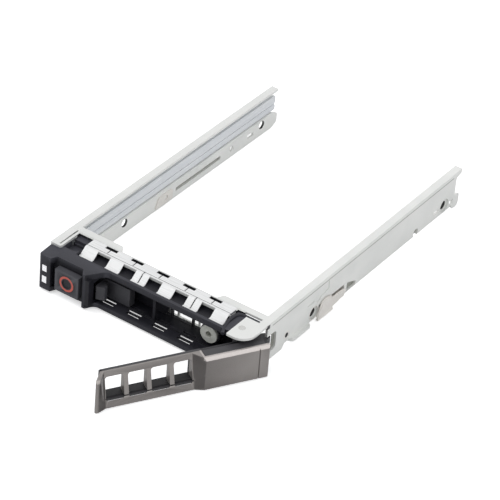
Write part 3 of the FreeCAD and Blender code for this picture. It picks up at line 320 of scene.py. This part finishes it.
def gunmetal_moulding():
    """The handle's metallic-painted cover: brown-grey, satin, with a fine flake."""
    cover = Shader("gunmetal")
    flake = cover.noise(0.12 * MM, 2, 0.5)
    cloud = cover.noise(14 * MM, 3, 0.5)
    base = cover.ramp(cloud, 0.3, 0.7, (0.088, 0.079, 0.076), (0.118, 0.107, 0.103))
    base = cover.edge_wear_and_sheen(base, (0.45, 0.42, 0.40), 0.55)
    # painted highlight: the bevel along the top of the solid end is painted pale, found along the open
    # handle's length
    solid_end, bevel_floor = 15.2, 10.95
    along = cover.add("ShaderNodeVectorMath", operation="DOT_PRODUCT")
    cover.link(cover.place, along.inputs[0])
    along.inputs[1].default_value = (math.cos(open_angle), math.sin(open_angle), 0)
    end_from = hinge.x * math.cos(open_angle) + hinge.y * math.sin(open_angle) - solid_end * MM
    at_end = cover.math("GREATER_THAN", along.outputs["Value"], end_from)
    bevel_highlight = cover.math("MULTIPLY", at_end, cover.math("GREATER_THAN", cover.axes()[2], bevel_floor * MM))
    cover.colour(cover.mix(bevel_highlight, base, cover.plain((0.46, 0.425, 0.41))))
    cover.roughness(cover.spread(flake, 0.27, 0.42))
    cover.set(metal=0.55, coat=0.25, coat_rough=0.2)
    cover.round_edges(0.25 * MM)
    cover.bump(flake, 0.10, 0.01 * MM)
    return cover.material


def frosted_pipe():
    """Clear polycarbonate light pipe: bluish grey, faintly cloudy."""
    pipe = Shader("frosted_pipe")
    streak = pipe.noise(1.2 * MM, 3, 0.5, (1, 0.05, 1))
    base = pipe.ramp(streak, 0.3, 0.7, (0.80, 0.83, 0.87), (0.90, 0.92, 0.94))
    # the faces in the bezel's windows are whiter, and a faint painted glow makes them brighter though the
    # pipes are no lamps
    window_depth = 1.0
    window = pipe.math("LESS_THAN", pipe.axes()[1], front_y + window_depth * MM)
    pipe.colour(pipe.mix(window, base, pipe.plain((0.93, 0.93, 0.95))))
    painted_glow = pipe.ramp(window, 0.2, 0.8, (0, 0, 0), (1, 1, 1))
    pipe.link(painted_glow, pipe.bsdf.inputs["Emission Color"])
    pipe.bsdf.inputs["Emission Strength"].default_value = 0.3
    pipe.roughness(pipe.spread(streak, 0.16, 0.30))
    pipe.set(clear=0.12, ior=1.58)
    pipe.round_edges(0.2 * MM)
    pipe.bump(streak, 0.06, 0.05 * MM)
    return pipe.material


def plain_metal(name, dark, light, rough, metal=0.9):
    """Turned or stamped small metal parts with a faint brushed grain."""
    part = Shader(name)
    grain = part.noise(0.15 * MM, 4, 0.6, (1, 1, 0.2))
    part.colour(part.ramp(grain, 0.3, 0.7, dark, light))
    part.roughness(part.spread(grain, rough - 0.06, rough + 0.08))
    part.set(metal=metal)
    part.round_edges(0.12 * MM)
    part.bump(grain, 0.08, 0.01 * MM)
    return part.material


def ring_paint():
    """The button's coral-red ring."""
    paint = Shader("ring_paint")
    speck = paint.noise(0.2 * MM, 3, 0.6)
    paint.colour(paint.ramp(speck, 0.3, 0.7, (0.52, 0.085, 0.06), (0.62, 0.12, 0.085)))
    paint.roughness(paint.spread(speck, 0.38, 0.52))
    paint.bump(speck, 0.1, 0.01 * MM)
    return paint.material


def dress(material, *names):
    """Gives CAD nodes a material in all their slots."""
    for name in names:
        for slot in nodes[name].material_slots:
            slot.link = "OBJECT"
            slot.material = material


bezel_black = black_moulding("black_bezel", (0.007, 0.007, 0.010), (0.013, 0.013, 0.018), 0.5, 0.22 * MM)
lever_black = black_moulding("black_lever", (0.010, 0.010, 0.012), (0.019, 0.018, 0.020), 0.44, 0.4 * MM)
# painted shade: shaded_steel is a darker copy of the plated steel, for inner sheets that lie in shadow
shaded_steel = plain_metal("shaded_steel", (0.26, 0.265, 0.24), (0.37, 0.375, 0.34), 0.5, 0.3)
seam_grey = plain_metal("seam_grey", (0.30, 0.31, 0.29), (0.40, 0.41, 0.38), 0.5, 0.2)

latch_black = black_moulding("black_latch", (0.010, 0.010, 0.012), (0.018, 0.018, 0.021), 0.4, 0.35 * MM)
button_black = black_moulding("dark_button", (0.022, 0.022, 0.026), (0.032, 0.032, 0.037), 0.46, 0.25 * MM)

dress(plated_steel(), "steel_frame")
dress(bright_spring(), "emi_gasket_top", "emi_gasket_bottom")
dress(bezel_black, "bezel", "latch_housing")
dress(latch_black, "latch")
dress(button_black, "release_button")
dress(ring_paint(), "button_ring")
dress(frosted_pipe(), "light_pipe_upper", "light_pipe_lower")
dress(gunmetal_moulding(), "handle_cover")
dress(lever_black, "handle_lever")
dress(plain_metal("pin_steel", (0.50, 0.50, 0.49), (0.66, 0.66, 0.64), 0.3), "hinge_pin")
dress(plain_metal("rivet_plate", (0.56, 0.57, 0.52), (0.70, 0.71, 0.65), 0.38, 0.3), "bezel_rivet")
dress(plain_metal("clip_steel", (0.74, 0.71, 0.67), (0.84, 0.81, 0.77), 0.36, 0.2),
      "rail_clip_right", "rail_clip_left", "button_spring", "handle_spring")


# ---------------------------------------------------------------- added pieces

def at(x, y, z):
    """A point in metres from millimetres across, behind the bezel's front face, and up."""
    return Vector((x * MM, front_y + y * MM, z * MM))


def solid(name, outline, plane, low, high, round_by=0.15):
    """An extruded outline with rounded edges. The plane names the outline's two axes."""
    third = ({"x", "y", "z"} - set(plane)).pop()
    mesh = bmesh.new()
    rings = []
    for level in (low, high):
        ring = []
        for a, b in outline:
            spot = {plane[0]: a, plane[1]: b, third: level}
            ring.append(mesh.verts.new((spot["x"] * MM, spot["y"] * MM, spot["z"] * MM)))
        rings.append(ring)
    count = len(outline)
    mesh.faces.new(rings[0])
    mesh.faces.new(rings[1][::-1])
    for i in range(count):
        mesh.faces.new((rings[0][i], rings[1][i], rings[1][(i + 1) % count], rings[0][(i + 1) % count]))
    bmesh.ops.recalc_face_normals(mesh, faces=mesh.faces)
    if round_by:
        bmesh.ops.bevel(mesh, geom=mesh.edges[:], offset=round_by * MM, segments=3, affect="EDGES",
                        clamp_overlap=True)
    return as_object(name, mesh)


def as_object(name, mesh):
    """Turns a bmesh into an object, smooth but for its sharp edges."""
    data = bpy.data.meshes.new(name)
    mesh.to_mesh(data)
    mesh.free()
    for face in data.polygons:
        face.use_smooth = True
    data.set_sharp_from_angle(angle=math.radians(35))
    piece = bpy.data.objects.new(name, data)
    bpy.context.scene.collection.objects.link(piece)
    return piece


def box_outline(a0, b0, a1, b1):
    """The corners of a rectangle, from its low corner to its high one."""
    return [(a0, b0), (a1, b0), (a1, b1), (a0, b1)]


def bead(name, points, radius, closed=False):
    """A smooth round bead or rolled wire through points, as a mesh."""
    curve = bpy.data.curves.new(name, "CURVE")
    curve.dimensions = "3D"
    curve.bevel_depth = radius * MM
    curve.bevel_resolution = 3
    curve.use_fill_caps = True
    spline = curve.splines.new("NURBS")
    spline.points.add(len(points) - 1)
    for point, place in zip(spline.points, points):
        point.co = (*place, 1)
    spline.order_u = 3
    spline.use_endpoint_u = not closed
    spline.use_cyclic_u = closed
    source = bpy.data.objects.new(name + "_path", curve)
    bpy.context.scene.collection.objects.link(source)
    graph = bpy.context.evaluated_depsgraph_get()
    data = bpy.data.meshes.new_from_object(source.evaluated_get(graph))
    bpy.data.objects.remove(source)
    data.name = name
    for face in data.polygons:
        face.use_smooth = True
    piece = bpy.data.objects.new(name, data)
    bpy.context.scene.collection.objects.link(piece)
    return piece


def finish_piece(piece, material, body, place=None):
    """Places a piece, gives it its material and slot, and lets it ride on a body."""
    if place is not None:
        piece.data.transform(place)
    piece.data.materials.clear()
    piece.data.materials.append(material)
    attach(piece, body)
    return piece


def recut(node, name, cutters, body):
    """A copy of a CAD node with openings cut in it, which stands for the node. Uses the cutters up."""
    source = nodes[node]
    piece = bpy.data.objects.new(name, source.data.copy())
    bpy.context.scene.collection.objects.link(piece)
    piece.matrix_world = source.matrix_world.copy()
    for number, cutter in enumerate(cutters):
        cut = piece.modifiers.new(f"cut_{number}", "BOOLEAN")
        cut.operation = "DIFFERENCE"
        cut.solver = "EXACT"
        cut.object = cutter
    graph = bpy.context.evaluated_depsgraph_get()
    data = bpy.data.meshes.new_from_object(piece.evaluated_get(graph))
    piece.modifiers.clear()
    piece.data = data
    for cutter in cutters:
        bpy.data.objects.remove(cutter)
    for index, slot_material in enumerate(source.material_slots):
        if index < len(data.materials):
            data.materials[index] = slot_material.material
        else:
            data.materials.append(slot_material.material)
    for face in data.polygons:
        face.material_index = 0
    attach(piece, body)
    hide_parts(node)
    return piece


shift = Matrix.Translation((0, front_y, 0))
opened = Matrix.Translation(hinge) @ Matrix.Rotation(open_angle, 4, "Z")
clip_pale = nodes["rail_clip_right"].material_slots[0].material


def handle_trim():
    """What closes the handle behind its windows and along its top, drawn closed from the hinge."""
    sill = solid("lever_sill", box_outline(-45.9, -6.12, -17.0, -4.95), "xy", 2.47, 2.78, 0.06)
    finish_piece(sill, lever_black, "handle", opened)
    band_front, band_rear = -3.42, -1.76
    band_outline = [(-46.2, band_rear), (-14.3, band_rear), (-14.3, band_front), (-44.9, band_front)]
    band = solid("lever_top_band", band_outline, "xy", 11.12, 11.34, 0.06)
    finish_piece(band, lever_black, "handle", opened)


def leaf(name, outline, faces):
    """A thin inner sheet, drawn along the rail and up, that shows through an opening, in a darker steel
    that is painted shade.
    """
    finish_piece(solid(name, outline, "yz", *faces, 0.05), shaded_steel, "caddy", shift)


def hinge_corner():
    """The black corner behind the hinge ear, the leaf of painted shade behind the claw's window, and the
    bezel's arm.
    """
    corner = solid("corner_filler", box_outline(28.95, 14.05, 35.1, 16.05), "xy", 11.9, 13.3, 0.1)
    finish_piece(corner, bezel_black, "caddy", shift)
    leaf("claw_shade_leaf", box_outline(18.7, 1.9, 21.6, 9.9), right_leaf)
    arm_path = [at(28.8, 4.4, 12.7), at(27.3, 7.5, 13.2), at(26.9, 12.2, 13.5), at(28.0, 15.2, 13.45),
                at(30.3, 15.1, 13.2)]
    finish_piece(bead("bezel_arm", arm_path, 0.62), bezel_black, "caddy")


def rail_leaves():
    """The inner sheets behind the openings of the two rails, in darker steel as painted shade."""
    half_moon = [(97.6, 1.7), (102.6, 1.7), (102.6, 3.9), (101.6, 5.1), (99.6, 5.3), (98.2, 4.1)]
    leaf("peek_leaf", box_outline(58.6, 1.75, 66.0, 6.4), right_leaf)
    leaf("half_moon_leaf", half_moon, right_leaf)
    leaf("recess_leaf", box_outline(67.8, 1.2, 94.0, 4.4), left_leaf)


def rail_edges():
    """The rolled seam and the rounded top edge of the right rail."""
    seam_z, seam_radius = 12.75, 0.11
    roll_x, roll_z, roll_radius = 37.62, 13.78, 0.40
    seam = [at(right_face, y, seam_z) for y in (17.5, 40, 70, 100, 121.5)]
    roll = [at(roll_x, y, roll_z) for y in (16.5, 40, 70, 100, 126)]
    steel = nodes["steel_frame"].material_slots[0].material
    finish_piece(bead("rail_seam_right", seam, seam_radius), seam_grey, "caddy")
    finish_piece(bead("rail_roll_right", roll, roll_radius), steel, "caddy")


def right_clip():
    """The moulded block, the wedge and the rolled foot of the right rail's clip."""
    block = [(42.2, 1.2), (42.2, 2.9), (44.4, 6.4), (46.2, 7.0), (49.6, 6.2), (50.4, 5.0), (50.4, 1.0),
             (46.0, 0.5)]
    wedge = [(50.2, 1.0), (50.2, 4.7), (52.0, 5.0), (56.8, 4.7), (58.3, 3.5), (57.6, 2.2), (54.0, 1.3)]
    foot = [at(38.5, 42.3, 0.75), at(38.6, 46, 0.7), at(38.6, 50.5, 0.8)]
    finish_piece(solid("clip_block", block, "yz", clip_face, 38.85, 0.3),
                 clip_pale, "caddy", shift)
    finish_piece(solid("clip_wedge", wedge, "yz", clip_face, 38.6, 0.25),
                 clip_pale, "caddy", shift)
    finish_piece(bead("clip_foot", foot, 0.5), clip_pale, "caddy")


def hole_rim(name, y, radius):
    """A raised round rim about a hole of the right rail."""
    sides, wire = 16, 0.13
    angles = [i * math.tau / sides for i in range(sides)]
    ring = [at(right_face, y + radius * math.cos(a), hole_z + radius * math.sin(a)) for a in angles]
    finish_piece(bead(name, ring, wire, closed=True), clip_pale, "caddy")


def coil(name, radius, wire, length, turns, place, node):
    """A round wire coil that stands for one of the CAD's square-wired ones."""
    per_turn = 14
    steps = per_turn * turns
    points = []
    for i in range(steps + 1):
        turn = math.tau * i / per_turn
        rise = wire + (length - 2 * wire) * i / steps
        points.append(Vector((radius * MM * math.cos(turn), radius * MM * math.sin(turn), rise * MM)))
    piece = finish_piece(bead(name, points, wire), clip_pale, "caddy", place)
    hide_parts(node)
    return piece


def spring_coils():
    """The button's spring, which shortens as the button is pressed, and the handle's."""
    low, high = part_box("button_spring")
    x, z = (low[0] + high[0]) / 2, (low[2] + high[2]) / 2
    length = (high[1] - low[1]) / MM
    lying = Matrix.Translation((x, low[1], z)) @ Matrix.Rotation(math.radians(-90), 4, "X")
    button_coil = coil("button_coil", 0.95, 0.16, length, 7, lying, "button_spring")
    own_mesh(button_coil)
    low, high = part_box("handle_spring")
    standing = Matrix.Translation((hinge.x, hinge.y, low[2]))
    coil("handle_coil", 1.42, 0.2, (high[2] - low[2]) / MM, 5, standing, "handle_spring")


def slot_cutters(name):
    """Wider cuts for the slots between the gasket's fingers."""
    cutters = []
    for i in range(slot_count):
        left = slot_left + slot_pitch * i
        outline = box_outline(left, slot_front, left + slot_width, slot_rear)
        cutters.append(solid(f"{name}_{i}", outline, "xy", slot_floor, slot_top, 0))
    return cutters


def cut_frame_and_gasket():
    """Openings of the web behind the bezel's back windows, and wider slots by the fingers."""
    window_floor, window_top = 0.75, 3.4
    web_front, web_rear = 14.9, 17.0
    openings = []
    for i, (left, right) in enumerate(((2.7, 4.6), (5.1, 12.5), (12.9, 16.8))):
        outline = box_outline(left, window_floor, right, window_top)
        openings.append(solid(f"web_cut_{i}", outline, "xz", web_front, web_rear, 0))
    steel_cutters = openings + slot_cutters("steel_slot")
    gasket_cutters = slot_cutters("gasket_slot")
    for cutter in steel_cutters + gasket_cutters:
        cutter.data.transform(shift)
    recut("steel_frame", "steel_frame_cut", steel_cutters, "caddy")
    recut("emi_gasket_top", "gasket_top_cut", gasket_cutters, "caddy")


handle_trim()
hinge_corner()
rail_leaves()
rail_edges()
right_clip()
hole_rim("hole_rim_front", front_hole_y, 1.35)
hole_rim("hole_rim_boss", drive_hole_y, 2.45)
spring_coils()
cut_frame_and_gasket()


# ---------------------------------------------------------------- floor, light, camera

def floor():
    """A plain pale sheet under the caddy, whiter where the camera sees it."""
    mesh = bpy.data.meshes.new("floor")
    size = 6.0
    corners = [(-size, -size, 0), (size, -size, 0), (size, size, 0), (-size, size, 0)]
    mesh.from_pydata(corners, [], [(0, 1, 2, 3)])
    sheet = bpy.data.objects.new("floor", mesh)
    bpy.context.scene.collection.objects.link(sheet)
    paper = Shader("floor_paper")
    fibre = paper.noise(3 * MM, 3, 0.5)
    paper.colour(paper.ramp(fibre, 0.3, 0.7, (0.90, 0.90, 0.90), (0.92, 0.92, 0.92)))
    paper.roughness(paper.spread(fibre, 0.85, 0.95))
    paper.set(specular=0.0)
    white = paper.add("ShaderNodeEmission")
    white.inputs["Color"].default_value = (1, 1, 1, 1)
    white.inputs["Strength"].default_value = 0.55
    both = paper.add("ShaderNodeAddShader")
    seen = paper.add("ShaderNodeMixShader")
    paper.link(paper.add("ShaderNodeLightPath").outputs["Is Camera Ray"], seen.inputs["Fac"])
    paper.link(paper.bsdf.outputs["BSDF"], both.inputs[0])
    paper.link(white.outputs["Emission"], both.inputs[1])
    paper.link(paper.bsdf.outputs["BSDF"], seen.inputs[1])
    paper.link(both.outputs["Shader"], seen.inputs[2])
    paper.link(seen.outputs["Shader"], paper.tree.nodes["Material Output"].inputs["Surface"])
    mesh.materials.append(paper.material)
    gap = 0.05
    sheet.location.z = cad_box[0][2] - gap * MM


def area_light(name, spot, aim, size, power):
    """A square soft box at spot, turned to aim."""
    lamp = bpy.data.lights.new(name, "AREA")
    lamp.shape = "SQUARE"
    lamp.size = size
    lamp.energy = power
    light = bpy.data.objects.new(name, lamp)
    bpy.context.scene.collection.objects.link(light)
    light.location = spot
    light.rotation_euler = (Vector(aim) - Vector(spot)).to_track_quat("-Z", "Y").to_euler()


def world():
    """White surroundings: bright where the camera sees them, softer as a light."""
    surround = bpy.data.worlds.new("surround")
    bpy.context.scene.world = surround
    surround.use_nodes = True
    tree = surround.node_tree
    back = tree.nodes["Background"]
    back.inputs["Color"].default_value = (0.95, 0.97, 1.0, 1)
    back.inputs["Strength"].default_value = 0.38
    shown = tree.nodes.new("ShaderNodeBackground")
    shown.inputs["Color"].default_value = (1, 1, 1, 1)
    shown.inputs["Strength"].default_value = 1.0
    path = tree.nodes.new("ShaderNodeLightPath")
    mix = tree.nodes.new("ShaderNodeMixShader")
    seen = path.outputs["Is Camera Ray"]
    for kind in ("Is Glossy Ray", "Is Transmission Ray"):
        either = tree.nodes.new("ShaderNodeMath")
        either.operation = "MAXIMUM"
        tree.links.new(seen, either.inputs[0])
        tree.links.new(path.outputs[kind], either.inputs[1])
        seen = either.outputs["Value"]
    tree.links.new(seen, mix.inputs["Fac"])
    tree.links.new(back.outputs["Background"], mix.inputs[1])
    tree.links.new(shown.outputs["Background"], mix.inputs[2])
    tree.links.new(mix.outputs["Shader"], tree.nodes["World Output"].inputs["Surface"])


def camera():
    """A long lens from the right, above and in front, with the photograph's framing."""
    eye = bpy.data.cameras.new("camera")
    eye.lens = 193.46
    eye.sensor_width = 36.0
    eye.clip_end = 50
    viewer = bpy.data.objects.new("camera", eye)
    bpy.context.scene.collection.objects.link(viewer)
    right = Vector((0.8159, 0.5737, 0.0724)).normalized()
    ahead = Vector((-0.4341, 0.6904, -0.5787)).normalized()
    up = right.cross(ahead).normalized()
    turn = Matrix((right, up, -ahead)).transposed().to_4x4()
    place = (0.3730, -0.5459, 0.4961)
    turn.translation = place
    viewer.matrix_world = turn
    bpy.context.scene.camera = viewer


floor()
world()
camera()
middle = (0.0, 0.03, 0.0)
area_light("key", (-0.5, -0.45, 1.0), middle, 0.9, 6)
area_light("right_fill", (1.0, -0.2, 0.6), middle, 0.9, 3.9)
area_light("rear", (0.1, 1.1, 0.8), middle, 1.0, 3.3)
bpy.context.scene.view_settings.view_transform = "Standard"
